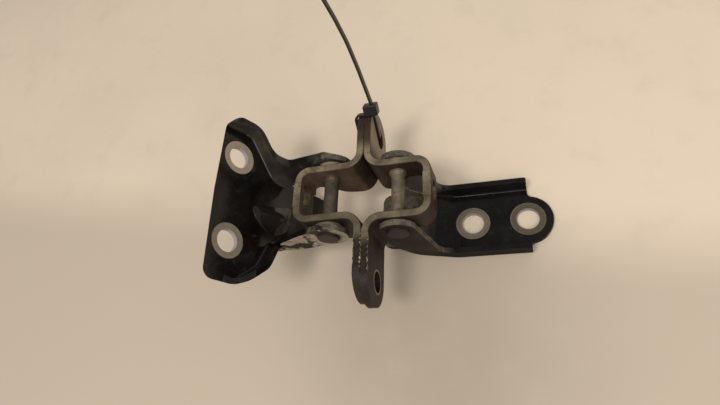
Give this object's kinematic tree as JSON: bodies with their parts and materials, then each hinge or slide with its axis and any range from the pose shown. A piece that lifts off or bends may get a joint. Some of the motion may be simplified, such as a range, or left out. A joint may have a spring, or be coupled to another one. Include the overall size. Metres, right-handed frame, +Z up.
{
  "type": "vehicle door hinge pair",
  "caption": "Pair of stamped steel vehicle door hinges, held foot to foot by a cable tie, each with a pinned leaf that swings.",
  "frame": {"origin": "midway between the two bolt holes of the right leaf, on the leaf's underside, which lies flat", "axes": "+X from the left hinge to the right hinge, +Y along the hinge pins towards the cable tie, +Z up"},
  "size_m": [0.1676, 0.1426, 0.11],
  "materials": {
    "strap_steel": "worn semi-gloss",
    "leaf_coat": "gloss",
    "pin_steel": "dull",
    "bush_metal": "dull",
    "tie_nylon": "satin"
  },
  "bodies": {
    "brackets": {"left_bracket": "strap_steel", "right_bracket": "strap_steel", "left_pin": "pin_steel", "right_pin": "pin_steel", "left_washer": "pin_steel", "right_washer": "pin_steel", "tie_loop": "tie_nylon", "tie_head": "tie_nylon", "tie_tail": "tie_nylon"},
    "left_side": {"left_leaf": "leaf_coat", "left_upper_bush": "bush_metal", "left_lower_bush": "bush_metal"},
    "right_side": {"right_leaf": "leaf_coat", "right_upper_bush": "bush_metal", "right_lower_bush": "bush_metal"}
  },
  "joints": [
    {"name": "left_hinge", "type": "hinge", "parent": "brackets", "child": "left_side", "pos_m": [-0.0834, 0.0021, 0.0492], "axis": [0, 1, 0], "range_deg": [-58, 12]},
    {"name": "right_hinge", "type": "hinge", "parent": "brackets", "child": "right_side", "pos_m": [-0.0468, 0.0006, 0.0492], "axis": [0, -1, 0], "range_deg": [-5, 78]}
  ]
}
